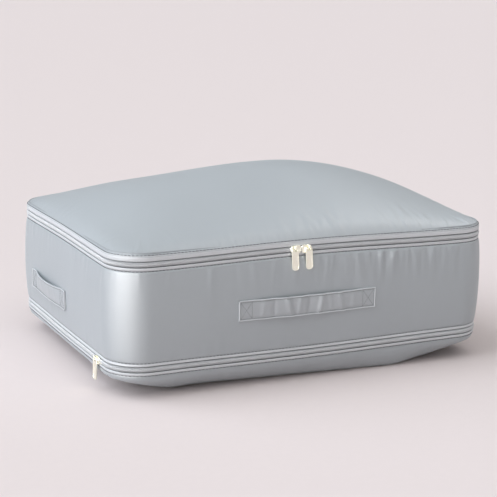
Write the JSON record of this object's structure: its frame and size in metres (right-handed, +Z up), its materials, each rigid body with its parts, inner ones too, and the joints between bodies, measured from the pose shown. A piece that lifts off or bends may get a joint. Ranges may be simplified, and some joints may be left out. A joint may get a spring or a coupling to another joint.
{
  "type": "compression packing cube",
  "caption": "Soft fabric packing cube with a domed zip-open lid, a zip expander round its foot, fabric grab handles and metal zip pulls.",
  "frame": {"origin": "centre of the flat patch under the bottom panel, on which the case rests", "axes": "+X along the length to the right seen from the front, -Y out of the front face with the two lid sliders, +Z up through the lid"},
  "size_m": [0.4113, 0.3113, 0.188],
  "materials": {
    "shell_fabric": "satin silver-grey plain-weave nylon",
    "gusset_fabric": "thin silver-grey nylon",
    "strap_fabric": "folded silver-grey nylon strap",
    "zip_tape": "woven grey zip tape",
    "seam_binding": "grey bias binding",
    "zip_coil": "light grey nylon coil",
    "gold_metal": "pale champagne gold plating"
  },
  "bodies": {
    "base": {"bottom_panel": "shell_fabric", "bottom_seam_binding": "seam_binding", "expander_tape_lower": "zip_tape", "expander_coil_lower": "zip_coil", "expander_stops": "gold_metal", "expansion_gusset": "gusset_fabric"},
    "wall": {"side_wall": "shell_fabric", "back_panel": "shell_fabric", "wall_foot_binding": "seam_binding", "wall_head_binding": "seam_binding", "expander_tape_upper": "zip_tape", "expander_coil_upper": "zip_coil", "lid_zip_tape_lower": "zip_tape", "lid_zip_coil_lower": "zip_coil", "lid_zip_stops": "gold_metal", "front_strap_ends": "strap_fabric", "side_strap_ends": "strap_fabric"},
    "lid": {"lid_panel": "shell_fabric", "lid_zip_tape_upper": "zip_tape", "lid_zip_coil_upper": "zip_coil", "lid_seam_binding": "seam_binding", "hinge_strip": "gusset_fabric"},
    "front_grip": {"front_strap_grip": "strap_fabric"},
    "side_grip": {"side_strap_grip": "strap_fabric"},
    "left_slider": {"left_slider": "gold_metal", "left_loop": "gold_metal"},
    "left_pull": {"left_pull": "gold_metal"},
    "right_slider": {"right_slider": "gold_metal", "right_loop": "gold_metal"},
    "right_pull": {"right_pull": "gold_metal"},
    "expander_slider": {"expander_slider": "gold_metal", "expander_loop": "gold_metal"},
    "expander_pull": {"expander_pull": "gold_metal"}
  },
  "joints": [
    {"name": "expander_lift", "type": "slide", "parent": "base", "child": "wall", "axis": [0, 0, 1], "range_m": [0, 0.04], "deforming": ["expansion_gusset"]},
    {"name": "lid_hinge", "type": "hinge", "parent": "wall", "child": "lid", "pos_m": [0, 0.1518, 0.131], "axis": [-1, 0, 0], "range_deg": [0, 180], "deforming": ["hinge_strip"]},
    {"name": "left_slider_travel", "type": "slide", "parent": "wall", "child": "left_slider", "axis": [-1, 0, 0], "range_m": [0, 0.138]},
    {"name": "left_pull_swing", "type": "hinge", "parent": "left_slider", "child": "left_pull", "pos_m": [-0.02345, -0.1533, 0.1328], "axis": [-1, 0, 0], "range_deg": [0, 150]},
    {"name": "right_slider_travel", "type": "slide", "parent": "wall", "child": "right_slider", "axis": [1, 0, 0], "range_m": [0, 0.17]},
    {"name": "right_pull_swing", "type": "hinge", "parent": "right_slider", "child": "right_pull", "pos_m": [-0.00875, -0.1533, 0.1328], "axis": [-1, 0, 0], "range_deg": [0, 150]},
    {"name": "expander_slider_travel", "type": "slide", "parent": "base", "child": "expander_slider", "axis": [0, 1, 0], "range_m": [0, 0.21]},
    {"name": "expander_pull_swing", "type": "hinge", "parent": "expander_slider", "child": "expander_pull", "pos_m": [-0.2033, -0.1002, 0.0318], "axis": [0, 1, 0], "range_deg": [0, 150]},
    {"name": "front_grip_pull", "type": "slide", "parent": "wall", "child": "front_grip", "axis": [0, -1, 0], "range_m": [0, 0.018], "stiffness_N_per_m": 15},
    {"name": "side_grip_pull", "type": "slide", "parent": "wall", "child": "side_grip", "axis": [-1, 0, 0], "range_m": [0, 0.015], "stiffness_N_per_m": 15}
  ]
}
